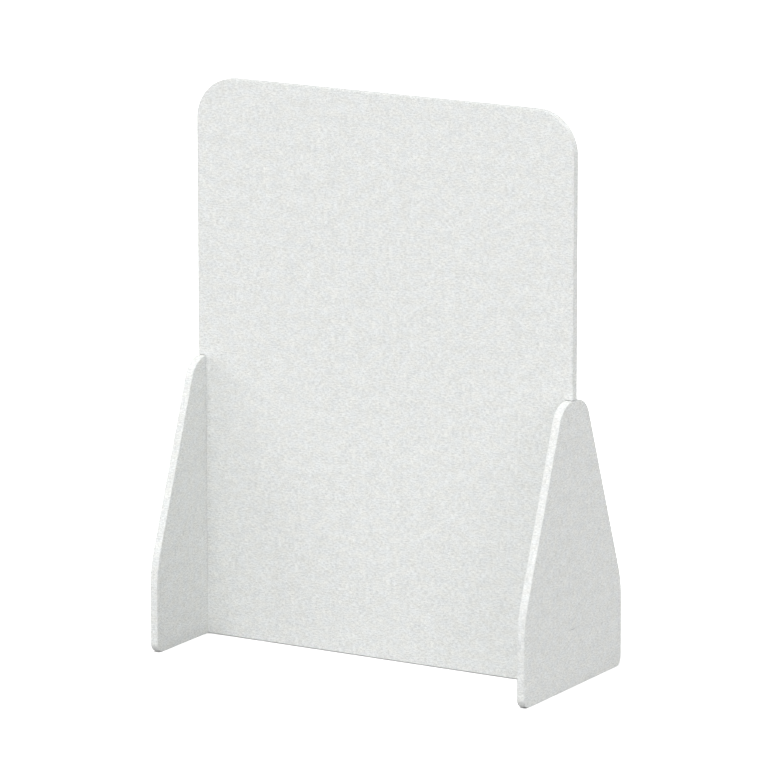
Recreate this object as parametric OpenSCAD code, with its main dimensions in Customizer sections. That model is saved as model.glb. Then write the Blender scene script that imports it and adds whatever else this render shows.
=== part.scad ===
// Free-standing acoustic screen: a notched panel that hooks onto two feet.
// Millimetres, +Z up, +X to the right, front towards -Y.
// The origin is on the floor, midway between the feet.

/* [Screen] */
// Overall width, over both feet
screen_w = 1200; // [800:10:2000]
// Overall height of the panel
screen_h = 1600; // [1200:10:2000]
// Thickness of each board with its textile
board_t = 24; // [20:1:32]
// Radius of the panel's two top corners
top_corner_r = 120; // [20:1:250]
// Height of the panel's lower edge above the floor
floor_clear = 2; // [1:0.5:20]

/* [Feet] */
// Length of a foot along the floor
foot_depth = 550; // [400:10:800]
// Height of a foot, where a shoulder of the panel rests
foot_h = 805; // [600:5:1000]
// Height at which a foot's upright edge turns into its slope
waist_h = 240; // [180:5:350]
// Width of a foot's top, measured as if its corners were sharp
foot_top_w = 130; // [122:1:200]
// Radius of the bend between the upright edge and the slope
waist_r = 300; // [60:5:500]
// Radius of the two corners at a foot's top
foot_top_r = 75; // [20:1:80]
// Radius of the two corners at the floor
toe_r = 28; // [5:1:60]

/* [Textile] */
// Thickness of the textile on faces and edges
textile_t = 1; // [0.6:0.1:2]

/* [Laths] */
// Width of a foot's lath, front to back
foot_lath_w = 40; // [26:1:60]
// Depth to which a foot's lath is let into the core
foot_lath_t = 15; // [13:0.5:17]
// Width of the panel's lath, measured in from its side edge
panel_lath_w = 30; // [20:1:60]
// Distance from the floor to a lath's lower end, and from its upper end to a foot's top
lath_margin = 40; // [10:1:100]

/* [Hook plates] */
// Length of a hook plate
plate_l = 64; // [58:1:80]
// Width of a hook plate
plate_w = 18; // [15:0.5:22]
// Thickness of a hook plate
plate_t = 2; // [2:0.1:3]
// Height through which the panel is lifted to free its studs
unhook_lift = 14; // [13:0.5:18]
// Distance from a plate's end to its nearer screw
screw_inset = 8; // [5:0.5:9]

/* [Studs] */
// Radius of a stud's neck and threaded shank
stud_r = 3; // [2:0.1:3.5]
// Radius of a stud's head
stud_head_r = 6; // [5:0.1:6.5]
// Thickness of a stud's head
stud_head_t = 2.6; // [1.5:0.1:4]
// Length of shank held in the sleeve
stud_grip = 12; // [6:1:15]
// Width across the flats of the head's socket
stud_socket_w = 4; // [2:0.5:5]
// Outer radius of a threaded sleeve
sleeve_r = 5; // [4:0.1:7]
// Length of a threaded sleeve
sleeve_l = 15; // [12:1:18]

/* [Plate screws] */
// Length of a screw
screw_l = 12; // [8:1:12]
// Radius of a screw's shank
screw_r = 1.75; // [1:0.05:2.5]
// Radius of a screw's flat head
screw_head_r = 3.8; // [3:0.1:4.5]
// Depth of a screw's tapered head
screw_head_t = 1.6; // [1:0.1:1.9]
// Length of a screw's point
screw_point = 3; // [1:0.5:5]

/* [Fits] */
// Room round a part that is let in, screwed in or passed through
fit_clear = 0.1; // [0.05:0.05:0.3]
// Room round a stud's neck in its slot and on both sides of its head
hook_clear = 0.3; // [0.1:0.05:0.6]

/* [Hidden] */
$fn = 96;

textile_colour = [0.90, 0.91, 0.90];
core_colour = [0.78, 0.79, 0.78];
lath_colour = "burlywood";
steel_colour = "silver";
sleeve_colour = "goldenrod";

// How far a cut runs past the solid that it cuts
overrun = 1;
// How far an arc bulges past the edges that it joins, so that it crosses them cleanly
arc_reach = 0.003;
// How far each corner's wedge reaches, as a share of the way to that corner
wedge_reach_share = 2;
// Heights of the hooks, as shares of a lath's length
hook_height_shares = [0.12, 0.5, 0.88];
hex_sides = 6;

core_t = board_t - 2 * textile_t;
half_w = screen_w / 2;
tongue_half_w = half_w - board_t;
core_edge_x = tongue_half_w - textile_t;
foot_core_x = tongue_half_w + textile_t;
lath_l = foot_h - 2 * lath_margin;
hook_heights = [for (share = hook_height_shares) lath_margin + share * lath_l];
plate_back_x = foot_core_x + plate_t;
stud_head_x = plate_back_x + hook_clear;
head_pocket_t = stud_head_t + 2 * hook_clear;

// Corners of the panel, anticlockwise from its lower left, seen from the front
panel_corners = [
    [-tongue_half_w, floor_clear],
    [tongue_half_w, floor_clear],
    [tongue_half_w, foot_h],
    [half_w, foot_h],
    [half_w, screen_h],
    [-half_w, screen_h],
    [-half_w, foot_h],
    [-tongue_half_w, foot_h],
];
panel_radii = [0, 0, 0, 0, top_corner_r, top_corner_r, 0, 0];

// Corners of a foot, anticlockwise from its front toe, seen from the right
foot_corners = [
    [-foot_depth / 2, 0],
    [foot_depth / 2, 0],
    [foot_depth / 2, waist_h],
    [foot_top_w / 2, foot_h],
    [-foot_top_w / 2, foot_h],
    [-foot_depth / 2, waist_h],
];
foot_radii = [toe_r, toe_r, waist_r, foot_top_r, foot_top_r, waist_r];

function unit(v) = v / norm(v);
function before(list, i) = list[(i + len(list) - 1) % len(list)];
function after(list, i) = list[(i + 1) % len(list)];
function towards_last(list, i) = unit(before(list, i) - list[i]);
function towards_next(list, i) = unit(after(list, i) - list[i]);
function bisector(list, i) = unit(towards_last(list, i) + towards_next(list, i));
// Half the angle between a corner's two edges
function half_angle(list, i) = acos(towards_last(list, i) * towards_next(list, i)) / 2;
// 1 at a corner that points out, -1 at one that points in
function turn(list, i) = sign(cross(towards_next(list, i), towards_last(list, i)));
function along_bisector(list, i, d) = list[i] + bisector(list, i) * d / sin(half_angle(list, i));
// The same outline drawn in by a distance
function drawn_in(list, inset) =
    [for (i = [0:len(list) - 1]) along_bisector(list, i, turn(list, i) * inset)];
function tangent_run(list, i, r) = r / tan(half_angle(list, i));

// Outline with true arcs at its corners: the sharp polygon less the waste at each corner
module rounded_outline(corners, radii, inset = 0) {
    list = drawn_in(corners, inset);
    difference() {
        polygon(list);
        for (i = [0:len(list) - 1])
            if (radii[i] > inset) corner_waste(list, i, radii[i] - inset);
    }
}

// What a round leaves over at a corner: a wedge from the arc's centre, less the arc's circle
module corner_waste(list, i, r) {
    centre = along_bisector(list, i, r);
    enter = list[i] + towards_last(list, i) * tangent_run(list, i, r);
    leave = list[i] + towards_next(list, i) * tangent_run(list, i, r);
    wedge = [centre, enter, list[i], leave];
    difference() {
        polygon([for (p = wedge) centre + (p - centre) * wedge_reach_share]);
        translate(centre) circle(r = r + arc_reach);
    }
}

module panel_outline(inset = 0) {
    rounded_outline(panel_corners, panel_radii, inset);
}

module foot_outline(inset = 0) {
    rounded_outline(foot_corners, foot_radii, inset);
}

// Stands an outline upright as a board that faces the front, from y to y + t
module facing_front(y, t) {
    translate([0, y + t, 0]) rotate([90, 0, 0]) linear_extrude(t) children();
}

// Stands an outline upright as a board that faces the side, from x to x + t
module facing_side(x, t) {
    translate([x, 0, 0]) rotate([90, 0, 90]) linear_extrude(t) children();
}

// A round bar along X, from x to x + l
module bar_x(x, l, r) {
    translate([x, 0, 0]) rotate([0, 90, 0]) cylinder(h = l, r = r);
}

module at_hooks() {
    for (z = hook_heights)
        translate([0, 0, z]) children();
}

// The left side is the right side turned round
module on_left() {
    rotate([0, 0, 180]) children();
}

// A slot with round ends, upright, from a to b, each measured to its end's centre
module upright_slot(a, b, r) {
    translate([-r, a]) square([2 * r, b - a]);
    translate([0, a]) circle(r = r);
    translate([0, b]) circle(r = r);
}

// A hook plate's outline, with the stud's seat at the origin
module plate_outline(margin = 0) {
    reach = (plate_l - plate_w) / 2;
    middle = unhook_lift / 2;
    upright_slot(middle - reach, middle + reach, plate_w / 2 + margin);
}

// Carries a part to both screws of a plate
module at_plate_screws() {
    reach = plate_l / 2 - screw_inset;
    for (way = [-1, 1])
        translate([0, 0, unhook_lift / 2 + way * reach]) children();
}

// The room of one screw, with a margin all round
module screw_shape(margin = 0) {
    straight = screw_l - screw_head_t - screw_point;
    translate([foot_core_x, 0, 0])
        rotate([0, 90, 0])
            rotate_extrude()
                polygon([
                    [0, 0],
                    [screw_head_r + margin, 0],
                    [screw_r + margin, screw_head_t],
                    [screw_r + margin, screw_head_t + straight],
                    [0, screw_l + margin],
                ]);
}

module panel_core() {
    color(core_colour)
        difference() {
            facing_front(-core_t / 2, core_t) panel_outline(textile_t);
            for (way = [-1, 1])
                translate([way * core_edge_x, 0, 0]) lath_rebate();
        }
}

// Open-sided space for a lath in the core's edge, cut on both sides of that edge
module lath_rebate() {
    translate([-panel_lath_w, -core_t / 2 - overrun, lath_margin])
        cube([2 * panel_lath_w, core_t + 2 * overrun, lath_l]);
}

module panel_front_textile() {
    color(textile_colour) facing_front(-board_t / 2, textile_t) panel_outline();
}

module panel_back_textile() {
    color(textile_colour) facing_front(core_t / 2, textile_t) panel_outline();
}

module panel_edge_textile() {
    color(textile_colour)
        difference() {
            facing_front(-core_t / 2, core_t)
                difference() {
                    panel_outline();
                    panel_outline(textile_t);
                }
            stud_holes();
            on_left() stud_holes();
        }
}

// Holes through which the studs leave the panel's edge
module stud_holes() {
    at_hooks() bar_x(core_edge_x - overrun, textile_t + 2 * overrun, stud_r + fit_clear);
}

module panel_lath() {
    color(lath_colour)
        difference() {
            translate([core_edge_x - panel_lath_w, -core_t / 2, lath_margin])
                cube([panel_lath_w, core_t, lath_l]);
            at_hooks() bar_x(core_edge_x - sleeve_l, sleeve_l + overrun, sleeve_r + fit_clear);
        }
}

module stud_sleeves() {
    color(sleeve_colour)
        at_hooks()
            difference() {
                bar_x(core_edge_x - sleeve_l, sleeve_l, sleeve_r);
                bar_x(core_edge_x - sleeve_l - overrun, sleeve_l + 2 * overrun, stud_r + fit_clear);
            }
}

module studs() {
    shank_x = core_edge_x - stud_grip;
    color(steel_colour)
        at_hooks()
            difference() {
                union() {
                    bar_x(shank_x, stud_head_x - shank_x, stud_r);
                    bar_x(stud_head_x, stud_head_t, stud_head_r);
                }
                stud_socket();
            }
}

// Six-sided socket in a stud's head, half as deep as the head is thick
module stud_socket() {
    translate([stud_head_x + stud_head_t / 2, 0, 0])
        rotate([0, 90, 0])
            cylinder(h = stud_head_t, d = stud_socket_w / cos(180 / hex_sides), $fn = hex_sides);
}

module foot_core() {
    color(core_colour)
        difference() {
            facing_side(foot_core_x, core_t) foot_outline(textile_t);
            translate([foot_core_x - overrun, -foot_lath_w / 2, lath_margin])
                cube([foot_lath_t + overrun, foot_lath_w, lath_l]);
        }
}

module foot_inner_textile() {
    color(textile_colour)
        difference() {
            facing_side(tongue_half_w, textile_t) foot_outline();
            at_hooks()
                facing_side(tongue_half_w - overrun, textile_t + 2 * overrun) plate_outline(fit_clear);
        }
}

module foot_outer_textile() {
    color(textile_colour) facing_side(half_w - textile_t, textile_t) foot_outline();
}

module foot_edge_textile() {
    color(textile_colour)
        facing_side(foot_core_x, core_t)
            difference() {
                foot_outline();
                foot_outline(textile_t);
            }
}

module foot_lath() {
    color(lath_colour)
        difference() {
            translate([foot_core_x, -foot_lath_w / 2, lath_margin])
                cube([foot_lath_t, foot_lath_w, lath_l]);
            at_hooks() {
                facing_side(foot_core_x - overrun, plate_t + overrun) plate_outline(fit_clear);
                head_pocket();
                at_plate_screws() screw_shape(fit_clear);
            }
        }
}

// Room behind a plate in which a stud's head goes from the entry hole to its seat
module head_pocket() {
    facing_side(plate_back_x - overrun, head_pocket_t + overrun)
        upright_slot(0, unhook_lift, stud_head_r + hook_clear);
}

module hook_plates() {
    color(steel_colour)
        at_hooks()
            difference() {
                facing_side(foot_core_x, plate_t) plate_outline();
                keyhole();
                at_plate_screws() screw_shape(fit_clear);
            }
}

// Entry hole for a stud's head, and below it the slot that its neck drops into
module keyhole() {
    facing_side(foot_core_x - overrun, plate_t + 2 * overrun) {
        upright_slot(0, unhook_lift, stud_r + hook_clear);
        translate([0, unhook_lift]) circle(r = stud_head_r + hook_clear);
    }
}

module plate_screws() {
    color(steel_colour) at_hooks() at_plate_screws() screw_shape();
}

panel_core();
panel_front_textile();
panel_back_textile();
panel_edge_textile();
on_left() panel_lath();  // panel_left_lath
panel_lath();  // panel_right_lath
on_left() foot_core();  // left_foot_core
on_left() foot_inner_textile();  // left_foot_inner_textile
on_left() foot_outer_textile();  // left_foot_outer_textile
on_left() foot_edge_textile();  // left_foot_edge_textile
on_left() foot_lath();  // left_foot_lath
on_left() hook_plates();  // left_hook_plates
on_left() plate_screws();  // left_plate_screws
on_left() stud_sleeves();  // left_stud_sleeves
on_left() studs();  // left_studs
foot_core();  // right_foot_core
foot_inner_textile();  // right_foot_inner_textile
foot_outer_textile();  // right_foot_outer_textile
foot_edge_textile();  // right_foot_edge_textile
foot_lath();  // right_foot_lath
hook_plates();  // right_hook_plates
plate_screws();  // right_plate_screws
stud_sleeves();  // right_stud_sleeves
studs();  // right_studs
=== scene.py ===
import math
from collections import namedtuple

import bmesh
import bpy
import numpy as np
from mathutils import Matrix, Vector
from mathutils.geometry import tessellate_polygon


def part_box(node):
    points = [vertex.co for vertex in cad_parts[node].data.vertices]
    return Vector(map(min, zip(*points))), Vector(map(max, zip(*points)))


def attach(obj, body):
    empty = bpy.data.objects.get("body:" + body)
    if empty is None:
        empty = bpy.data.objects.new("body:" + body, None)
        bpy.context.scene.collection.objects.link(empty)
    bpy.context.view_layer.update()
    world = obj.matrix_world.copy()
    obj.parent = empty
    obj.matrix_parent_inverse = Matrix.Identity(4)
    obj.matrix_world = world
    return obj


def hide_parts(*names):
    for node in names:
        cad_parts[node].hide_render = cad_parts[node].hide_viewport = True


# A free-standing acoustic screen: a notched panel whose shoulders rest on two feet.
# Each is a board of pressed fibre, faced and edged in one melange cloth.
# Metres, +Z up, front towards -Y. Left and right are as seen from the front.

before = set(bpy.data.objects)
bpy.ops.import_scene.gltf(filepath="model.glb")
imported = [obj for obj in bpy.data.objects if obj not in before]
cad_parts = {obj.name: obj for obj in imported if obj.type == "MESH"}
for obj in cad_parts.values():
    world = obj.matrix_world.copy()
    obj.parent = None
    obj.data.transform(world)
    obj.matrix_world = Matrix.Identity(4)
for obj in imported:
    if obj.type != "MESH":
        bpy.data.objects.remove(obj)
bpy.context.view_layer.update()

# Sizes of the boards, read from the solids
foot_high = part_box("right_foot_outer_textile")[1]
panel_low, panel_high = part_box("panel_front_textile")
SCREEN_W, SCREEN_H = 2 * foot_high.x, panel_high.z
FOOT_DEPTH, FOOT_H = 2 * foot_high.y, foot_high.z
FLOOR_CLEAR = panel_low.z
BOARD_T = -2 * panel_low.y
CLOTH_T = panel_high.y - panel_low.y
TONGUE_HALF_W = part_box("right_foot_inner_textile")[0].x

# Corners of the outlines
TOP_CORNER_R = 0.12
# The solids' shoulders lie on the feet's tops. Here their cloth stays this far above, so that
# the dark line between them shows
SHOULDER_GAP = 0.0018
WAIST_H, FOOT_TOP_W = 0.24, 0.13
WAIST_R, FOOT_TOP_R, TOE_R = 0.3, 0.075, 0.028

# How a facing rolls over a board's arris to the butt seam behind it, and how the lips there are eased
ARRIS_R = 0.0012
FACING_TURN_IN = 0.0024
SEAM_GAP = 0.0001
LIP = 0.0002
LIP_BEND = 0.3 * LIP
CORE_EASE = 0.0003
# How far a facing, laid flat, reaches past its board's outline
WRAP = FACING_TURN_IN + ARRIS_R * (math.pi / 2 - 2)

# Laths, read from the solids
lath_low, lath_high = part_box("right_foot_lath")
LATH_FOOT_Z, LATH_HEAD_Z = lath_low.z, lath_high.z
FOOT_LATH_HALF_W, FOOT_LATH_BACK_X = lath_high.y, lath_high.x
PANEL_LATH_BACK_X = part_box("panel_right_lath")[0].x
CORE_EDGE_X = TONGUE_HALF_W - CLOTH_T
FOOT_CORE_X = TONGUE_HALF_W + CLOTH_T

# Hook plates, one above another, and their two screws each
PLATE_L, UNHOOK_LIFT, SCREW_INSET = 0.064, 0.014, 0.008
HOOK_NUMBER, SCREWS_PER_PLATE = 3, 2
plates_low, plates_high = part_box("right_hook_plates")
PLATE_HALF_W = plates_high.y
HOOK_LOWEST = plates_low.z + (PLATE_L - UNHOOK_LIFT) / 2
HOOK_SPACING = (plates_high.z - plates_low.z - PLATE_L) / (HOOK_NUMBER - 1)
# Room round what goes through a hole, and between a plate and the head behind it
FIT = 0.0001
HOOK_FIT = 0.0003

# Studs, their sleeves, and the plates' screws
STUD_R, STUD_HEAD_R, STUD_HEAD_T = 0.003, 0.006, 0.0026
STUD_GRIP, STUD_SOCKET_W, STUD_EASE = 0.012, 0.004, 0.0003
STUD_SOCKET_DEPTH, STUD_END_EASE = STUD_HEAD_T / 2, STUD_EASE / 3
FINE_EASE = 0.0001
STUD_HEAD_X = plates_high.x + HOOK_FIT
SLEEVE_R, SLEEVE_L, SLEEVE_RIM = 0.005, 0.015, 0.001
SCREW_L, SCREW_R, SCREW_HEAD_R, SCREW_HEAD_T, SCREW_POINT = 0.012, 0.00175, 0.0038, 0.0016, 0.003
CROSS_REACH, CROSS_HALF_W, CROSS_DEPTH = 0.0021, 0.00045, 0.0014
# How many times narrower a cross recess is at its floor, and a screw's core at the end of its
# thread and at its tip
CROSS_NARROWING, POINT_NARROWING, TIP_NARROWING = 2, 5, 20
# Pitch of each thread, and how deep it is cut
STUD_THREAD = (0.001, 0.0005)
SLEEVE_THREAD = (0.0025, 0.0007)
SCREW_THREAD = (0.0013, 0.0006)
# One part in this many of a thread's length is its run-out, at either end
THREAD_RUN_OUT = 6

# How far a curve's chord may leave its arc, and the longest straight step of an outline
CURVE_FINENESS = 0.00002
LONGEST_STEP = 0.06
# Steps over an arris, along one turn of a thread, round a turned part and round a slot's end
ARRIS_STEPS, THREAD_STEPS, ROUND_SIDES, SLOT_STEPS = 6, 8, 48, 12
# Edges of turned parts that bend more than this look sharp
SHARP_BEND = math.radians(35)
NEARLY_ZERO = 1e-9

WHITE, BLACK = (1, 1, 1), (0, 0, 0)
# Cloth: colours of its yarns, their spacing, and how far one shade runs along a yarn
DARK_YARN = (0.642, 0.655, 0.65)
LIGHT_YARN = (0.932, 0.945, 0.938)
WARM_TINT = (1.0, 0.995, 0.975)
COOL_TINT = (0.99, 0.997, 1.0)
WARP_PITCH, WEFT_PITCH = 0.0011, 0.0013
SHADE_RUN = 0.0045
# How much of a yarn's height is its own, and how much its rise over the yarns that it crosses
YARN_BODY_SHARE, YARN_RISE_SHARE = 0.6, 0.4
# How far the weft stands over the warp where it starts to show, and where it hides the warp
WEFT_SHOWS, WEFT_HIDES_WARP = -0.15, 0.05
# Each yarn reads its shade on a line of noise of its own: the lines' spacing, and the warp's shift
NOISE_LINE_SPACING, WARP_LINE_SHIFT = 3.7, 0.5
# Sizes of the flecks, clouds and tints over many yarns, and the shares of yarns, flecks and clouds
FLECK_SIZE, CLOUD_SIZE, TINT_SIZE = (0.011, 0.0035, 1), (0.045, 0.03, 1), (0.028, 0.02, 1)
YARN_SHARE, FLECK_SHARE, CLOUD_SHARE = 0.5, 0.4, 0.1
# The part of its noise over which a colour changes
SHADE_SPREAD, TINT_SPREAD = (0.375, 0.625), (0.3, 0.7)
# How deep a finish's relief is, and how strongly it shows
WEAVE_RELIEF = (0.0002, 0.4)
# Where one dark slub lies on the right foot's outer face, its half size, and how far out from its
# middle it starts to fade, with its rim at 1
SLUB_Y, SLUB_Z = -0.004, 0.165
SLUB_HALF_L, SLUB_HALF_H = 0.03, 0.0024
SLUB_RIM, SLUB_FADE_START = 1.0, 0.4
SLUB_DARKNESS = 0.25
# The facings and strips are cut from different places of the cloth
CUT_FROM = {
    "panel_front": (0, 0),
    "panel_back": (5, 3),
    "panel_edge": (9, 1),
    "foot_outer": (2, 7),
    "foot_inner": (4, 11),
    "foot_edge": (11, 13),
}
OTHER_FOOT_CUT = (17, 19)

# Pressed fibre: its fibres' length and thickness each way, its colours and relief
FIBRE_SIZES = ((0.004, 0.0004, 0.0006), (0.0005, 0.004, 0.0004), (0.0004, 0.0005, 0.004))
FIBRE_SPREAD = (0.45, 0.8)
DARK_FIBRE, LIGHT_FIBRE = (0.46, 0.47, 0.46), (0.74, 0.75, 0.74)
FIBRE_RELIEF = (0.0004, 0.6)

# Lath wood: its growth rings and pores, long up the lath
RING_SIZE, PORE_SIZE = (0.005, 0.02, 0.5), (0.0006, 0.0006, 0.03)
RING_SPREAD = (0.35, 0.65)
RING_SHARE, PORE_SHARE = 0.7, 0.3
EARLY_WOOD, LATE_WOOD = (0.70, 0.50, 0.30), (0.50, 0.32, 0.16)
PORE_RELIEF = (0.0001, 0.3)

# Zinc and brass: the size of a mottle and of a lathe's mark, and their colours
MOTTLE_SIZE, LATHE_MARK_SIZE = (0.003, 0.003, 0.004), (0.00015, 0.02, 0.02)
BLUISH_ZINC, PALE_ZINC = (0.56, 0.59, 0.62), (0.68, 0.69, 0.70)
DEEP_BRASS, BRIGHT_BRASS = (0.66, 0.47, 0.22), (0.80, 0.62, 0.33)
LATHE_MARK_RELIEF = (0.00002, 0.5)

# The values of a finish's pattern at which it would be quite smooth, and quite rough
WOOD_SMOOTH_TO_ROUGH = (-1.0, 1.6)
ZINC_SMOOTH_TO_ROUGH = (-0.6, 1.6)
BRASS_SMOOTH_TO_ROUGH = (-0.5, 2.0)

# Light on the object: the room's, and each lamp's direction and strength
AMBIENT = 0.28
LAMPS = {
    "front left lamp": ((-0.5, -0.86, 0.09), 0.35),
    "left lamp": ((-0.86, -0.5, 0.09), 0.91),
    "front right lamp": ((0.5, -0.86, 0.09), 0.53),
    "right lamp": ((0.86, -0.5, 0.09), 0.74),
    "high lamp": ((0, -0.42, 0.91), 2.07),
    "back right lamp": ((0.86, 0.5, 0.09), 1.04),
    "back lamp": ((0, 1, 0.09), 1.41),
}
LAMP_WIDTH = math.radians(30)
# The floor as it lights the object, and as it looks, with a glow that fades right under the object,
# painting a contact shadow there
FLOOR_BOUNCE, FLOOR_SHADE, FLOOR_GLOW = 0.4, 0.95, 0.65
# How far from the object the glow fades: the reach of the painted contact shadow
GLOW_FADE = 0.03
FLOOR_REACH = 60

# The camera: its turn, tilt and roll in radians, its place, its lens in millimetres, and how far
# it sees
CAMERA_TURN, CAMERA_TILT, CAMERA_ROLL = 0.53246, 0.21772, -0.00089
CAMERA_PLACE = (8.63018, -14.64467, 4.53848)
CAMERA_LENS, CAMERA_SIGHT = 293.14, 200


class Station:
    """A point on an outline, with the way inwards from it and its distance along the outline."""

    def __init__(self, point, inward, sharp=False):
        self.point = np.array(point, float)
        self.inward = np.array(inward, float)
        self.sharp = sharp
        self.run = 0.0

    def at(self, inset):
        return self.point + self.inward * inset


def inward_normal(start, end):
    along = (end - start) / np.linalg.norm(end - start)
    return np.array([-along[1], along[0]])


def corner_stations(last, corner, following, radius):
    """The stations of one corner of an anticlockwise outline, rounded by a tangent arc."""
    before, after = inward_normal(last, corner), inward_normal(corner, following)
    mitre = (before + after) / (1 + before @ after)
    if radius == 0:
        return [Station(corner, mitre, sharp=True)]
    centre = corner + mitre * radius
    angle = math.acos(np.clip(before @ after, -1, 1))
    # A chord leaves its arc by its own square over eight radii
    chord = math.sqrt(8 * radius * CURVE_FINENESS)
    steps = math.ceil(angle * radius / chord)
    stations = []
    for k in range(steps + 1):
        share = k / steps
        normal = math.sin((1 - share) * angle) * before + math.sin(share * angle) * after
        normal /= math.sin(angle)
        stations.append(Station(centre - normal * radius, normal))
    return stations


def measured(stations):
    """Gives each station its distance along the outline."""
    for here, there in zip(stations, stations[1:]):
        there.run = here.run + np.linalg.norm(there.point - here.point)
    return stations


def outline(corners, radii, longest_step=LONGEST_STEP):
    """A closed outline as stations, with long straight runs divided."""
    corners = [np.array(c, float) for c in corners]
    following = corners[1:] + corners[:1]
    rounded = []
    for i, radius in enumerate(radii):
        rounded += corner_stations(corners[i - 1], corners[i], following[i], radius)
    stations = []
    for here, there in zip(rounded, rounded[1:] + rounded[:1]):
        stations.append(here)
        gap = np.linalg.norm(there.point - here.point)
        if gap > longest_step:
            normal = inward_normal(here.point, there.point)
            for share in np.linspace(0, 1, math.ceil(gap / longest_step) + 1)[1:-1]:
                stations.append(Station(here.point + (there.point - here.point) * share, normal))
    return measured(stations)


def panel_outline():
    tongue, side, shoulder = TONGUE_HALF_W, SCREEN_W / 2, FOOT_H + SHOULDER_GAP
    corners = [(-tongue, FLOOR_CLEAR), (tongue, FLOOR_CLEAR), (tongue, shoulder), (side, shoulder)]
    corners += [(side, SCREEN_H), (-side, SCREEN_H), (-side, shoulder), (-tongue, shoulder)]
    return outline(corners, [0, 0, 0, 0, TOP_CORNER_R, TOP_CORNER_R, 0, 0])


def foot_outline(longest_step=LONGEST_STEP):
    toe, top = FOOT_DEPTH / 2, FOOT_TOP_W / 2
    corners = [(-toe, 0), (toe, 0), (toe, WAIST_H)]
    corners += [(top, FOOT_H), (-top, FOOT_H), (-toe, WAIST_H)]
    radii = [TOE_R, TOE_R, WAIST_R, FOOT_TOP_R, FOOT_TOP_R, WAIST_R]
    return outline(corners, radii, longest_step)


def panel_core_outline():
    """The panel's board without its cloth, open at both sides for the laths."""
    edge, side, niche = CORE_EDGE_X, SCREEN_W / 2 - CLOTH_T, PANEL_LATH_BACK_X
    low, top = FLOOR_CLEAR + CLOTH_T, SCREEN_H - CLOTH_T
    shoulder = FOOT_H + SHOULDER_GAP + CLOTH_T
    right = [(edge, low), (edge, LATH_FOOT_Z), (niche, LATH_FOOT_Z)]
    right += [(niche, LATH_HEAD_Z), (edge, LATH_HEAD_Z)]
    right += [(edge, shoulder), (side, shoulder), (side, top)]
    left = [(-x, z) for x, z in reversed(right)]
    radii = [0] * 7 + [TOP_CORNER_R - CLOTH_T] * 2 + [0] * 7
    return outline(right + left, radii)


def foot_core_outline():
    """The foot's board without its cloth, each straight run in one step."""
    stations = foot_outline(longest_step=math.inf)
    return measured([Station(s.at(CLOTH_T), s.inward, s.sharp) for s in stations])


def length_round(stations):
    return stations[-1].run + np.linalg.norm(stations[0].point - stations[-1].point)


def slot_outline(low, high, radius):
    """An upright slot with round ends, from one end's centre to the other's."""
    points = []
    for end, start in ((low, math.pi), (high, 0.0)):
        for angle in np.linspace(start, start + math.pi, SLOT_STEPS + 1):
            points.append((radius * math.cos(angle), end + radius * math.sin(angle)))
    return points


def finished(name, shape, material):
    """A mesh object at the origin, with its faces outwards."""
    bmesh.ops.recalc_face_normals(shape, faces=shape.faces)
    mesh = bpy.data.meshes.new(name)
    shape.to_mesh(mesh)
    shape.free()
    mesh.materials.append(material)
    piece = bpy.data.objects.new(name, mesh)
    bpy.context.scene.collection.objects.link(piece)
    return piece


# One row of a section: its inset from the outline, its depth through the board, its place across
# the cloth when that lies flat, and whether the face to the next row is smooth
Row = namedtuple("Row", "inset depth cloth smooth")


class Sweep:
    """A section swept round an outline. Place puts a point of it at a depth in the board."""

    def __init__(self, stations, section, place, cloth_shift):
        self.stations, self.section, self.place = stations, section, place
        self.shift = cloth_shift
        self.shape = bmesh.new()
        self.cloth = self.shape.loops.layers.uv.new("cloth")
        self.rows = [
            [self.shape.verts.new(place(*s.at(row.inset), row.depth)) for s in stations]
            for row in section
        ]

    def face(self, corners, cloth_points, smooth=False):
        made = self.shape.faces.new(corners)
        made.smooth = smooth
        for loop, (u, v) in zip(made.loops, cloth_points):
            loop[self.cloth].uv = (u + self.shift[0], v + self.shift[1])

    def band(self, j, k, cloth_at):
        """The faces between two rows of the section, all the way round."""
        count = len(self.stations)
        for i in range(count):
            n = (i + 1) % count
            corners = [self.rows[j][i], self.rows[j][n], self.rows[k][n], self.rows[k][i]]
            points = cloth_at(i, n, self.section[j], self.section[k])
            self.face(corners, points, self.section[j].smooth)
            if self.stations[i].sharp:
                self.shape.edges.get([self.rows[j][i], self.rows[k][i]]).smooth = False

    def on_the_face(self, i, n, here, there):
        """Cloth that continues the pattern of the board's face."""
        a, b = self.stations[i], self.stations[n]
        return a.at(here.cloth), b.at(here.cloth), b.at(there.cloth), a.at(there.cloth)

    def along_the_edge(self, i, n, here, there):
        """Cloth cut as a strip that runs along the board's edge."""
        a = self.stations[i].run
        b = self.stations[n].run or length_round(self.stations)
        return (here.cloth, a), (here.cloth, b), (there.cloth, b), (there.cloth, a)

    def fill(self, holes):
        """Fills the first and last rows across the outline, and cuts the holes through both."""
        both_rims = []
        for row, verts in ((self.section[0], self.rows[0]), (self.section[-1], self.rows[-1])):
            loops = [[s.at(row.inset) for s in self.stations]] + list(holes)
            rims = [
                [self.shape.verts.new(self.place(*point, row.depth)) for point in loop]
                for loop in holes
            ]
            both_rims.append(rims)
            every_vert = verts + [vert for rim in rims for vert in rim]
            points = [point for loop in loops for point in loop]
            flat = [[Vector((*point, 0)) for point in loop] for loop in loops]
            for corners in tessellate_polygon(flat):
                self.face([every_vert[c] for c in corners], [points[c] for c in corners])
        for outer, inner, loop in zip(*both_rims, holes):
            for i in range(len(loop)):
                n = (i + 1) % len(loop)
                points = [loop[i], loop[n], loop[n], loop[i]]
                self.face([outer[i], outer[n], inner[n], inner[i]], points)


def slab(name, stations, section, place, material, cloth_shift=(0, 0), holes=()):
    """A closed board or facing, filled at both faces."""
    sweep = Sweep(stations, section, place, cloth_shift)
    for j in range(len(section) - 1):
        sweep.band(j, j + 1, sweep.on_the_face)
    sweep.fill(holes)
    return finished(name, sweep.shape, material)


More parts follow.
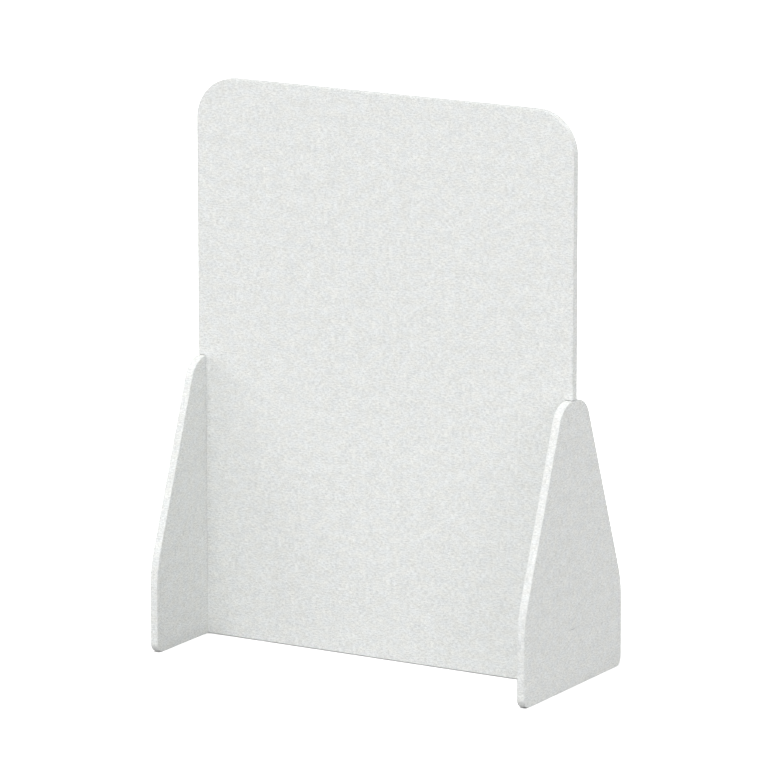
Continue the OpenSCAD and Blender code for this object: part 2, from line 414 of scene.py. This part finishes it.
def ring(name, stations, section, place, material, cloth_shift):
    """A closed strip round a board's edge."""
    sweep = Sweep(stations, section, place, cloth_shift)
    for j in range(len(section)):
        sweep.band(j, (j + 1) % len(section), sweep.along_the_edge)
    return finished(name, sweep.shape, material)


def facing_section():
    """From the flat of a face, round the arris, in at the seam and back along the glued side."""
    rows = []
    for angle in np.linspace(0, math.pi / 2, ARRIS_STEPS + 1):
        inset, depth = ARRIS_R * (1 - math.sin(angle)), ARRIS_R * (1 - math.cos(angle))
        rows.append(Row(inset, depth, ARRIS_R * (1 - angle), True))
    seam = FACING_TURN_IN
    for inset, lift in ((0, LIP), (LIP_BEND, LIP_BEND), (LIP, 0)):
        rows.append(Row(inset, seam - lift, lift - WRAP, lift > 0))
    rows.append(Row(CLOTH_T, seam, -WRAP, False))
    rows.append(Row(CLOTH_T, CLOTH_T, CLOTH_T, False))
    return rows


def edging_section():
    """A flat strip between the two facings, with eased lips at both seams."""
    rows = []
    for inset, rise in ((CLOTH_T, 0), (LIP, 0), (LIP_BEND, LIP_BEND), (0, LIP)):
        depth = FACING_TURN_IN + SEAM_GAP + rise
        rows.append(Row(inset, depth, depth, inset < CLOTH_T))
    for row in reversed(rows.copy()):
        depth = BOARD_T - row.depth
        rows.append(Row(row.inset, depth, depth, row.inset < LIP))
    return rows


def core_section():
    """A board without its cloth, with its arrises eased."""
    low, high = CLOTH_T, BOARD_T - CLOTH_T
    return [
        Row(CORE_EASE, low, CORE_EASE, True),
        Row(0, low + CORE_EASE, 0, False),
        Row(0, high - CORE_EASE, 0, True),
        Row(CORE_EASE, high, CORE_EASE, False),
    ]


# Places for a board's outline: each says from which face of the board its depth is taken
def from_front(across, height, depth):
    return across, depth - BOARD_T / 2, height


def from_back(across, height, depth):
    return across, BOARD_T / 2 - depth, height


def from_right(across, height, depth):
    return SCREEN_W / 2 - depth, across, height


def from_right_foot_inside(across, height, depth):
    return TONGUE_HALF_W + depth, across, height


def made_plain(piece):
    """Turns what a piece's modifiers make into its own mesh."""
    ready = piece.evaluated_get(bpy.context.evaluated_depsgraph_get())
    mesh = bpy.data.meshes.new_from_object(ready)
    mesh.name = piece.name
    piece.modifiers.clear()
    piece.data = mesh
    return piece


def cut(piece, cutters):
    """Cuts the cutters out of a piece, and leaves a plain mesh."""
    for cutter in cutters:
        tool = piece.modifiers.new("cut", "BOOLEAN")
        tool.operation, tool.solver, tool.object = "DIFFERENCE", "EXACT", cutter
    made_plain(piece)
    for cutter in cutters:
        mesh = cutter.data
        bpy.data.objects.remove(cutter)
        bpy.data.meshes.remove(mesh)
    return piece


def block(low, high, material):
    """A square-edged cutter from one corner to the other."""
    shape = bmesh.new()
    bmesh.ops.create_cube(shape, size=1)
    for vert in shape.verts:
        vert.co = [near if at < 0 else far for at, near, far in zip(vert.co, low, high)]
    return finished("cutter", shape, material)


def turned(name, rings, material, hollow=False):
    """A part turned about a line along X.

    Each ring is (x, radius), and a radius may be a function of the angle. A hollow part joins its
    last ring to its first, as a sleeve does, and any other is closed at both ends."""
    shape = bmesh.new()
    rows = []
    for x, radius in rings:
        row = []
        for angle in np.linspace(0, 2 * math.pi, ROUND_SIDES, endpoint=False):
            reach = radius(angle) if callable(radius) else radius
            place = (x, reach * math.cos(angle), reach * math.sin(angle))
            row.append(shape.verts.new(place))
        rows.append(row)
    following = rows[1:] + ([rows[0]] if hollow else [])
    for here, there in zip(rows, following):
        for i in range(ROUND_SIDES):
            n = (i + 1) % ROUND_SIDES
            shape.faces.new([here[i], here[n], there[n], there[i]]).smooth = True
    if not hollow:
        for row in (rows[0], rows[-1]):
            shape.faces.new(row)
    for edge in shape.edges:
        if len(edge.link_faces) == 2 and edge.calc_face_angle() > SHARP_BEND:
            edge.smooth = False
    return finished(name, shape, material)


def thread(start, end, crest, pitch_and_depth, point=None):
    """Rings of a thread that runs out at both ends, over a core that may taper to a point."""
    pitch, depth = pitch_and_depth
    root = crest - depth
    rings = []
    for x in np.linspace(start, end, math.ceil((end - start) / pitch * THREAD_STEPS) + 1):
        share = (x - start) / (end - start)
        core = root if point is None else root + (point - root) * share
        cut_share = min(1, THREAD_RUN_OUT * share, THREAD_RUN_OUT * (1 - share))
        height = depth * core / root * cut_share

        def radius(angle, x=x, core=core, height=height):
            phase = ((x - start) / pitch - angle / (2 * math.pi)) % 1
            return core + height * (1 - abs(2 * phase - 1))

        rings.append((x, radius))
    return rings


def six_sided(across):
    """The radius at each angle of a six-sided socket, so wide across its flats."""

    def radius(angle):
        return across / 2 / math.cos((angle + math.pi / 6) % (math.pi / 3) - math.pi / 6)

    return radius


def cross_shaped(reach, half_width):
    """The radius at each angle of a cross with straight arms."""

    def radius(angle):
        cosine, sine = max(abs(math.cos(angle)), NEARLY_ZERO), max(abs(math.sin(angle)), NEARLY_ZERO)
        level_arm = min(reach / cosine, half_width / sine)
        upright_arm = min(reach / sine, half_width / cosine)
        return max(level_arm, upright_arm)

    return radius


def node(tree, kind, inputs=(), **settings):
    """Adds a node, sets it up, and links or sets its inputs."""
    made = tree.nodes.new(kind)
    for name, value in settings.items():
        setattr(made, name, value)
    for name, value in dict(inputs).items():
        if isinstance(value, bpy.types.NodeSocket):
            tree.links.new(value, made.inputs[name])
        else:
            made.inputs[name].default_value = value
    return made


def sockets(tree, way, **kinds):
    """Adds sockets of the kinds given to a node group, named with _ for each space."""
    for name, kind in kinds.items():
        tree.interface.new_socket(
            name.replace("_", " "), in_out=way, socket_type="NodeSocket" + kind
        )


def column_tree():
    """Geometry nodes that repeat a part up a column."""
    tree = bpy.data.node_groups.new("Repeat up a column", "GeometryNodeTree")
    sockets(tree, "INPUT", Part="Geometry", Number="Int", Lowest="Float", Spacing="Float")
    sockets(tree, "INPUT", Finish="Material")
    sockets(tree, "OUTPUT", Column="Geometry")
    given = node(tree, "NodeGroupInput").outputs
    lowest = node(tree, "ShaderNodeCombineXYZ", {"Z": given["Lowest"]})
    spacing = node(tree, "ShaderNodeCombineXYZ", {"Z": given["Spacing"]})
    steps = {"Start Location": lowest.outputs[0], "Offset": spacing.outputs[0]}
    inputs = {"Count": given["Number"], **steps}
    line = node(tree, "GeometryNodeMeshLine", inputs, mode="OFFSET")
    inputs = {"Points": line.outputs[0], "Instance": given["Part"]}
    placed = node(tree, "GeometryNodeInstanceOnPoints", inputs)
    real = node(tree, "GeometryNodeRealizeInstances", {"Geometry": placed.outputs[0]})
    inputs = {"Geometry": real.outputs[0], "Material": given["Finish"]}
    finish = node(tree, "GeometryNodeSetMaterial", inputs)
    node(tree, "NodeGroupOutput", {"Column": finish.outputs[0]})
    return tree


def up_a_column(piece, tree, number, lowest, spacing):
    """Repeats a piece up a column, and leaves a plain mesh."""
    tool = piece.modifiers.new("column", "NODES")
    tool.node_group = tree
    values = {
        "Number": number,
        "Lowest": lowest,
        "Spacing": spacing,
        "Finish": piece.data.materials[0],
    }
    for item in tree.interface.items_tree:
        if item.name in values:
            tool[item.identifier] = values[item.name]
    return made_plain(piece)


def maths(tree, operation, a, b=0.0):
    inputs = {0: a, 1: b}
    return node(tree, "ShaderNodeMath", inputs, operation=operation).outputs[0]


def times(tree, a, b):
    return maths(tree, "MULTIPLY", a, b)


def plus(tree, a, b):
    return maths(tree, "ADD", a, b)


def wave(tree, phase):
    """Sine of a phase given in half turns."""
    return maths(tree, "SINE", times(tree, phase, math.pi))


# A mix node's sockets for colours come after those for numbers and vectors
MIX_SHARE, MIX_FIRST, MIX_LAST, MIX_RESULT = 0, 6, 7, 2


def opaque(colour):
    """A fixed colour with its alpha, or a socket as it is."""
    return colour if isinstance(colour, bpy.types.NodeSocket) else (*colour, 1)


def blended(tree, share, first, last, way="MIX"):
    """Two colours, each a socket or fixed, mixed by a share."""
    inputs = {MIX_SHARE: share, MIX_FIRST: opaque(first), MIX_LAST: opaque(last)}
    made = node(tree, "ShaderNodeMix", inputs, data_type="RGBA", blend_type=way)
    return made.outputs[MIX_RESULT]


def tinted(tree, colour, tint):
    return blended(tree, 1.0, colour, tint, way="MULTIPLY")


def stretched(tree, value, low, high):
    """Spreads the part of a value from low to high over 0 to 1."""
    inputs = {"Value": value, "From Min": low, "From Max": high}
    return node(tree, "ShaderNodeMapRange", inputs).outputs[0]


def streaks_group():
    """Noise drawn out along one way: shades along yarns, grain in wood, tool marks in metal."""
    tree = bpy.data.node_groups.new("Drawn streaks", "ShaderNodeTree")
    sockets(tree, "INPUT", Place="Vector", Sizes="Vector", Detail="Float")
    sockets(tree, "OUTPUT", Streaks="Float")
    given = node(tree, "NodeGroupInput").outputs
    inputs = {0: given["Place"], 1: given["Sizes"]}
    drawn = node(tree, "ShaderNodeVectorMath", inputs, operation="DIVIDE")
    inputs = {"Vector": drawn.outputs[0], "Scale": 1.0, "Detail": given["Detail"]}
    grain = node(tree, "ShaderNodeTexNoise", inputs)
    node(tree, "NodeGroupOutput", {"Streaks": grain.outputs[0]})
    return tree


drawn_streaks = streaks_group()


def streaks(tree, place, sizes, detail=0.0):
    """The shared streaks, drawn out to the sizes given each way."""
    inputs = {"Place": place, "Sizes": sizes, "Detail": detail}
    return node(tree, "ShaderNodeGroup", inputs, node_tree=drawn_streaks).outputs["Streaks"]


def weave_group():
    """A plain weave, with one shade that changes along each yarn of its own.

    The level yarns are the weft and the upright ones the warp, and each lies over every other yarn
    that it crosses."""
    tree = bpy.data.node_groups.new("Melange weave", "ShaderNodeTree")
    sockets(tree, "INPUT", Place="Vector", Warp_pitch="Float", Weft_pitch="Float")
    sockets(tree, "INPUT", Shade_run="Float")
    sockets(tree, "OUTPUT", Shade="Float", Height="Float")
    given = node(tree, "NodeGroupInput").outputs
    along = node(tree, "ShaderNodeSeparateXYZ", {0: given["Place"]}).outputs
    across_warp = maths(tree, "DIVIDE", along["X"], given["Warp pitch"])
    across_weft = maths(tree, "DIVIDE", along["Y"], given["Weft pitch"])
    warp_number = maths(tree, "FLOOR", across_warp)
    weft_number = maths(tree, "FLOOR", across_weft)

    def yarn(across, number, along_it, way):
        """Height of one set of yarns, from its round section and its rise over the other set."""
        section = wave(tree, maths(tree, "FRACT", across))
        phase = maths(tree, "SUBTRACT", along_it, number)
        rise = times(tree, wave(tree, phase), way)
        lift = plus(tree, times(tree, rise, YARN_RISE_SHARE), YARN_BODY_SHARE)
        return times(tree, section, lift)

    def shade(along_it, number):
        """Shade of one yarn, on a line of noise that is its own."""
        run = maths(tree, "DIVIDE", along_it, given["Shade run"])
        own_line = times(tree, number, NOISE_LINE_SPACING)
        spot = node(tree, "ShaderNodeCombineXYZ", {"X": run, "Y": own_line})
        inputs = {"Vector": spot.outputs[0], "Scale": 1.0, "Detail": 0.0}
        return node(tree, "ShaderNodeTexNoise", inputs).outputs[0]

    weft = yarn(across_weft, weft_number, across_warp, 1)
    warp = yarn(across_warp, warp_number, across_weft, -1)
    weft_shade = shade(along["X"], weft_number)
    warp_shade = shade(along["Y"], plus(tree, warp_number, WARP_LINE_SHIFT))
    on_top = stretched(tree, maths(tree, "SUBTRACT", weft, warp), WEFT_SHOWS, WEFT_HIDES_WARP)
    level = times(tree, on_top, weft_shade)
    upright = times(tree, maths(tree, "SUBTRACT", 1.0, on_top), warp_shade)
    height = maths(tree, "MAXIMUM", weft, warp)
    node(tree, "NodeGroupOutput", {"Shade": plus(tree, level, upright), "Height": height})
    return tree


def new_finish(name, **values):
    """A material with its shader's own sockets set, named with _ for each space."""
    material = bpy.data.materials.new(name)
    material.use_nodes = True
    tree = material.node_tree
    shader = tree.nodes["Principled BSDF"]
    for socket, value in values.items():
        shader.inputs[socket.replace("_", " ")].default_value = value
    return material, tree, shader


def place_on_object(tree):
    return node(tree, "ShaderNodeTexCoord").outputs["Object"]


def raised(tree, shader, height, depth, strength):
    """Gives a finish its relief."""
    inputs = {"Strength": strength, "Distance": depth, "Height": height}
    bump = node(tree, "ShaderNodeBump", inputs)
    tree.links.new(bump.outputs[0], shader.inputs["Normal"])


def slub_mask(tree, place, centre):
    """1 in the middle of a slender oval at a place on the cloth, falling to 0 at its rim."""
    shift = node(tree, "ShaderNodeVectorMath", {0: place, 1: centre}, operation="SUBTRACT")
    inputs = {0: shift.outputs[0], 1: (SLUB_HALF_L, SLUB_HALF_H, 1)}
    scaled = node(tree, "ShaderNodeVectorMath", inputs, operation="DIVIDE")
    away = node(tree, "ShaderNodeVectorMath", {0: scaled.outputs[0]}, operation="LENGTH")
    return stretched(tree, away.outputs["Value"], SLUB_RIM, SLUB_FADE_START)


def melange_cloth(slub_at):
    """Off-white cloth woven from yarns of mixed light greys, with one darker slub."""
    material, tree, shader = new_finish(
        "Melange cloth",
        Roughness=0.95,
        Specular_IOR_Level=0.05,
        Sheen_Weight=0.03,
        Sheen_Roughness=0.6,
    )
    place = node(tree, "ShaderNodeUVMap", uv_map="cloth").outputs[0]
    yarn_sizes = {"Warp pitch": WARP_PITCH, "Weft pitch": WEFT_PITCH, "Shade run": SHADE_RUN}
    inputs = {"Place": place, **yarn_sizes}
    weave = node(tree, "ShaderNodeGroup", inputs, node_tree=weave_group()).outputs
    fleck = streaks(tree, place, FLECK_SIZE, detail=1.0)
    cloud = streaks(tree, place, CLOUD_SIZE, detail=1.0)
    patches = plus(tree, times(tree, fleck, FLECK_SHARE), times(tree, cloud, CLOUD_SHARE))
    shade = plus(tree, times(tree, weave["Shade"], YARN_SHARE), patches)
    yarns = blended(tree, stretched(tree, shade, *SHADE_SPREAD), DARK_YARN, LIGHT_YARN)
    tint = stretched(tree, streaks(tree, place, TINT_SIZE), *TINT_SPREAD)
    cloth_colour = tinted(tree, yarns, blended(tree, tint, WARM_TINT, COOL_TINT))
    slub = times(tree, slub_mask(tree, place, slub_at), SLUB_DARKNESS)
    with_slub = tinted(tree, cloth_colour, blended(tree, slub, WHITE, BLACK))
    tree.links.new(with_slub, shader.inputs["Base Color"])
    raised(tree, shader, weave["Height"], *WEAVE_RELIEF)
    return material


def pressed_fibre():
    """Grey felt of short fibres that lie every way."""
    material, tree, shader = new_finish("Pressed fibre", Roughness=0.95, Specular_IOR_Level=0.2)
    place = place_on_object(tree)
    fibres = [streaks(tree, place, sizes, detail=1.0) for sizes in FIBRE_SIZES]
    felt = maths(tree, "MAXIMUM", maths(tree, "MAXIMUM", *fibres[:2]), fibres[2])
    colour = blended(tree, stretched(tree, felt, *FIBRE_SPREAD), DARK_FIBRE, LIGHT_FIBRE)
    tree.links.new(colour, shader.inputs["Base Color"])
    raised(tree, shader, felt, *FIBRE_RELIEF)
    return material


def lath_wood():
    """Planed softwood with its grain up the lath."""
    material, tree, shader = new_finish("Lath wood", Specular_IOR_Level=0.35)
    place = place_on_object(tree)
    rings = stretched(tree, streaks(tree, place, RING_SIZE, detail=2.0), *RING_SPREAD)
    pores = streaks(tree, place, PORE_SIZE, detail=1.0)
    grain = plus(tree, times(tree, rings, RING_SHARE), times(tree, pores, PORE_SHARE))
    tree.links.new(blended(tree, grain, EARLY_WOOD, LATE_WOOD), shader.inputs["Base Color"])
    roughness = stretched(tree, grain, *WOOD_SMOOTH_TO_ROUGH)
    tree.links.new(roughness, shader.inputs["Roughness"])
    raised(tree, shader, pores, *PORE_RELIEF)
    return material


def zinc_steel():
    """Steel under a thin bluish coat of zinc, faintly mottled."""
    material, tree, shader = new_finish("Zinc steel", Metallic=1.0)
    place = place_on_object(tree)
    mottle = streaks(tree, place, MOTTLE_SIZE, detail=3.0)
    tree.links.new(blended(tree, mottle, BLUISH_ZINC, PALE_ZINC), shader.inputs["Base Color"])
    roughness = stretched(tree, mottle, *ZINC_SMOOTH_TO_ROUGH)
    tree.links.new(roughness, shader.inputs["Roughness"])
    return material


def turned_brass():
    """Brass with the fine rings that a lathe leaves."""
    material, tree, shader = new_finish("Turned brass", Metallic=1.0)
    place = place_on_object(tree)
    marks = streaks(tree, place, LATHE_MARK_SIZE, detail=1.0)
    tree.links.new(blended(tree, marks, DEEP_BRASS, BRIGHT_BRASS), shader.inputs["Base Color"])
    roughness = stretched(tree, marks, *BRASS_SMOOTH_TO_ROUGH)
    tree.links.new(roughness, shader.inputs["Roughness"])
    raised(tree, shader, marks, *LATHE_MARK_RELIEF)
    return material


outer_shift = CUT_FROM["foot_outer"]
cloth = melange_cloth((SLUB_Y + outer_shift[0], SLUB_Z + outer_shift[1], 0))
fibre = pressed_fibre()
wood = lath_wood()
steel = zinc_steel()
brass = turned_brass()


def hook_heights():
    return [HOOK_LOWEST + k * HOOK_SPACING for k in range(HOOK_NUMBER)]


def stud_holes():
    """Cutters for the holes in the panel's edges through which its studs leave."""
    cutters = []
    ends = (CORE_EDGE_X - CLOTH_T, TONGUE_HALF_W + CLOTH_T)
    for z in hook_heights():
        for way in (1, -1):
            rings = [(way * x, STUD_R + FIT) for x in ends]
            peg = turned("cutter", rings, cloth)
            peg.data.transform(Matrix.Translation((0, 0, z)))
            cutters.append(peg)
    return cutters


def plate_slots():
    """Outlines of the slots in a foot's inner facing, one round each hook plate."""
    reach = PLATE_L / 2 - PLATE_HALF_W
    middles = [z + UNHOOK_LIFT / 2 for z in hook_heights()]
    return [slot_outline(z - reach, z + reach, PLATE_HALF_W + FIT) for z in middles]


def hook_studs():
    """A flat-headed stud with a six-sided socket, screwed into its sleeve."""
    start, end = CORE_EDGE_X - STUD_GRIP, STUD_HEAD_X + STUD_HEAD_T
    socket = six_sided(STUD_SOCKET_W)
    rings = [(start, STUD_R - STUD_THREAD[1] - STUD_END_EASE)]
    rings += thread(start + STUD_EASE, CORE_EDGE_X, STUD_R, STUD_THREAD)
    rings += [(CORE_EDGE_X + STUD_EASE, STUD_R), (STUD_HEAD_X, STUD_R)]
    rings += [(STUD_HEAD_X, STUD_HEAD_R - STUD_EASE), (STUD_HEAD_X + STUD_EASE, STUD_HEAD_R)]
    rings += [(end - STUD_EASE, STUD_HEAD_R), (end, STUD_HEAD_R - STUD_EASE)]
    rings += [(end, socket), (end - STUD_SOCKET_DEPTH, socket)]
    return turned("right_hook_studs", rings, steel)


def stud_sleeves():
    """A brass sleeve, threaded outside to bite the lath, with a plain rim."""
    back, bore = CORE_EDGE_X - SLEEVE_L, STUD_R + FIT
    root = SLEEVE_R - SLEEVE_THREAD[1]
    rim = CORE_EDGE_X - SLEEVE_RIM
    rings = [(back, bore), (back, root - FINE_EASE)]
    rings += thread(back + 2 * FINE_EASE, rim - 2 * FINE_EASE, SLEEVE_R, SLEEVE_THREAD)
    rings += [(rim, SLEEVE_R), (CORE_EDGE_X, SLEEVE_R), (CORE_EDGE_X, bore)]
    return turned("right_stud_sleeve_inserts", rings, brass, hollow=True)


def countersunk_screws():
    """A countersunk wood screw with a cross recess and a tapering point."""
    face, tip_x = FOOT_CORE_X, FOOT_CORE_X + SCREW_L
    point_x = tip_x - SCREW_POINT
    root = SCREW_R - SCREW_THREAD[1]
    recess = cross_shaped(CROSS_REACH, CROSS_HALF_W)
    recess_floor = cross_shaped(CROSS_REACH / CROSS_NARROWING, CROSS_HALF_W / CROSS_NARROWING)
    rings = [(face + CROSS_DEPTH, recess_floor), (face, recess)]
    rings += [(face, SCREW_HEAD_R - 2 * FINE_EASE), (face + 2 * FINE_EASE, SCREW_HEAD_R)]
    rings += [(face + SCREW_HEAD_T, SCREW_R)]
    rings += thread(face + SCREW_HEAD_T + SCREW_THREAD[0], point_x, SCREW_R, SCREW_THREAD)
    point_r, tip_r = root / POINT_NARROWING, root / TIP_NARROWING
    rings += thread(point_x + FINE_EASE, tip_x - FINE_EASE, SCREW_R, SCREW_THREAD, point_r)
    rings += [(tip_x, tip_r)]
    return turned("right_countersunk_screws", rings, steel)


def turned_round(piece, name):
    """A copy for the left side, which is the right side turned round."""
    copy = bpy.data.objects.new(name, piece.data.copy())
    copy.data.name = name
    copy.data.transform(Matrix.Rotation(math.pi, 4, "Z"))
    bpy.context.scene.collection.objects.link(copy)
    for layer in copy.data.uv_layers:
        for corner in layer.data:
            corner.uv += Vector(OTHER_FOOT_CUT)
    return copy


def stands_for(piece, node_name):
    """The piece takes a solid's place: it joins the root body, and the solid is hidden."""
    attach(piece, "root")
    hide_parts(node_name)


def make_panel():
    """The panel's board, its two facings and the strip round its edge."""
    stations = panel_outline()
    board = slab("panel_fibre_board", panel_core_outline(), core_section(), from_front, fibre)
    stands_for(board, "panel_core")
    for face, place in (("front", from_front), ("back", from_back)):
        shift = CUT_FROM[f"panel_{face}"]
        facing = slab(f"panel_{face}_cloth", stations, facing_section(), place, cloth, shift)
        stands_for(facing, f"panel_{face}_textile")
    shift = CUT_FROM["panel_edge"]
    strip = ring("panel_edge_cloth", stations, edging_section(), from_front, cloth, shift)
    cut(strip, stud_holes())
    stands_for(strip, "panel_edge_textile")


def make_foot_board():
    """The right foot's board, rebated for its lath."""
    board = slab("right_foot_fibre_board", foot_core_outline(), core_section(), from_right, fibre)
    low = (FOOT_CORE_X - CLOTH_T, -FOOT_LATH_HALF_W, LATH_FOOT_Z)
    high = (FOOT_LATH_BACK_X, FOOT_LATH_HALF_W, LATH_HEAD_Z)
    return cut(board, [block(low, high, fibre)])


def make_feet():
    """Both feet: the right one's pieces, and the same pieces turned round for the left."""
    stations = foot_outline()
    section = facing_section()
    outer, inner, edge = (CUT_FROM[f"foot_{name}"] for name in ("outer", "inner", "edge"))
    column = column_tree()
    screws = countersunk_screws()
    reach = PLATE_L / 2 - SCREW_INSET
    up_a_column(screws, column, SCREWS_PER_PLATE, UNHOOK_LIFT / 2 - reach, 2 * reach)
    hardware = {"studs": hook_studs(), "stud_sleeves": stud_sleeves(), "plate_screws": screws}
    for piece in hardware.values():
        up_a_column(piece, column, HOOK_NUMBER, HOOK_LOWEST, HOOK_SPACING)
    right = {
        "foot_core": make_foot_board(),
        "foot_outer_textile": slab(
            "right_foot_outer_cloth", stations, section, from_right, cloth, outer
        ),
        "foot_inner_textile": slab(
            "right_foot_inner_cloth",
            stations,
            section,
            from_right_foot_inside,
            cloth,
            inner,
            plate_slots(),
        ),
        "foot_edge_textile": ring(
            "right_foot_edge_cloth", stations, edging_section(), from_right, cloth, edge
        ),
        **hardware,
    }
    left = {
        part: turned_round(piece, piece.name.replace("right", "left"))
        for part, piece in right.items()
    }
    for side, pieces in (("right", right), ("left", left)):
        for part, piece in pieces.items():
            stands_for(piece, f"{side}_{part}")


def finish_solids():
    """Gives the laths and hook plates, whose shapes are kept, their finishes."""
    finishes = {
        "panel_left_lath": wood,
        "panel_right_lath": wood,
        "left_foot_lath": wood,
        "right_foot_lath": wood,
        "left_hook_plates": steel,
        "right_hook_plates": steel,
    }
    for name, finish in finishes.items():
        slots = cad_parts[name].data.materials
        slots.clear()
        slots.append(finish)


def seen_directly(tree):
    """1 for what the camera sees, also mirrored or through glass, and 0 for light on the object."""
    rays = node(tree, "ShaderNodeLightPath").outputs
    mirrored = maths(tree, "MAXIMUM", rays["Is Glossy Ray"], rays["Is Transmission Ray"])
    return maths(tree, "MAXIMUM", rays["Is Camera Ray"], mirrored)


def pale_floor():
    """A wide floor that shows white and keeps the object's shadow, with a painted contact shadow
    where its glow fades under the object.
    """
    shape = bmesh.new()
    bmesh.ops.create_circle(shape, cap_ends=True, segments=ROUND_SIDES, radius=FLOOR_REACH)
    material, tree, shader = new_finish(
        "Pale floor", Roughness=1.0, Specular_IOR_Level=0.0, Emission_Color=opaque(WHITE)
    )
    seen = seen_directly(tree)
    shade = blended(tree, seen, [FLOOR_BOUNCE] * 3, [FLOOR_SHADE] * 3)
    tree.links.new(shade, shader.inputs["Base Color"])
    # Ambient occlusion fades the glow right under the object, which paints a contact shadow there
    open_above = node(tree, "ShaderNodeAmbientOcclusion", {"Distance": GLOW_FADE}).outputs["AO"]
    glow = times(tree, times(tree, seen, open_above), FLOOR_GLOW)
    tree.links.new(glow, shader.inputs["Emission Strength"])
    finished("floor", shape, material)


def surroundings():
    """An even white room, dimmer as a light than it looks."""
    world = bpy.data.worlds.new("Studio")
    bpy.context.scene.world = world
    world.use_nodes = True
    tree = world.node_tree
    background = tree.nodes["Background"]
    background.inputs["Color"].default_value = opaque(WHITE)
    strength = plus(tree, times(tree, seen_directly(tree), 1 - AMBIENT), AMBIENT)
    tree.links.new(strength, background.inputs["Strength"])


def soft_lamps():
    """Wide soft lamps that shine on everything alike."""
    for name, (direction, strength) in LAMPS.items():
        lamp = bpy.data.lights.new(name, "SUN")
        lamp.energy, lamp.angle = strength, LAMP_WIDTH
        holder = bpy.data.objects.new(name, lamp)
        holder.rotation_euler = Vector(direction).to_track_quat("Z", "Y").to_euler()
        bpy.context.scene.collection.objects.link(holder)


def camera():
    """A long lens in front of the screen, to its right and a little above it."""
    level = Vector((math.sin(CAMERA_TURN), -math.cos(CAMERA_TURN), 0))
    back = level * math.cos(CAMERA_TILT) + Vector((0, 0, math.sin(CAMERA_TILT)))
    right = Vector((0, 0, 1)).cross(back).normalized()
    up = back.cross(right)
    across = math.cos(CAMERA_ROLL) * right + math.sin(CAMERA_ROLL) * up
    upward = math.cos(CAMERA_ROLL) * up - math.sin(CAMERA_ROLL) * right
    eye = bpy.data.objects.new("camera", bpy.data.cameras.new("camera"))
    turn = Matrix((across, upward, back)).transposed().to_4x4()
    eye.matrix_world = Matrix.Translation(CAMERA_PLACE) @ turn
    eye.data.lens, eye.data.clip_end = CAMERA_LENS, CAMERA_SIGHT
    bpy.context.scene.collection.objects.link(eye)
    bpy.context.scene.camera = eye


make_panel()
make_feet()
finish_solids()
pale_floor()
surroundings()
soft_lamps()
camera()
bpy.context.scene.view_settings.view_transform = "Standard"
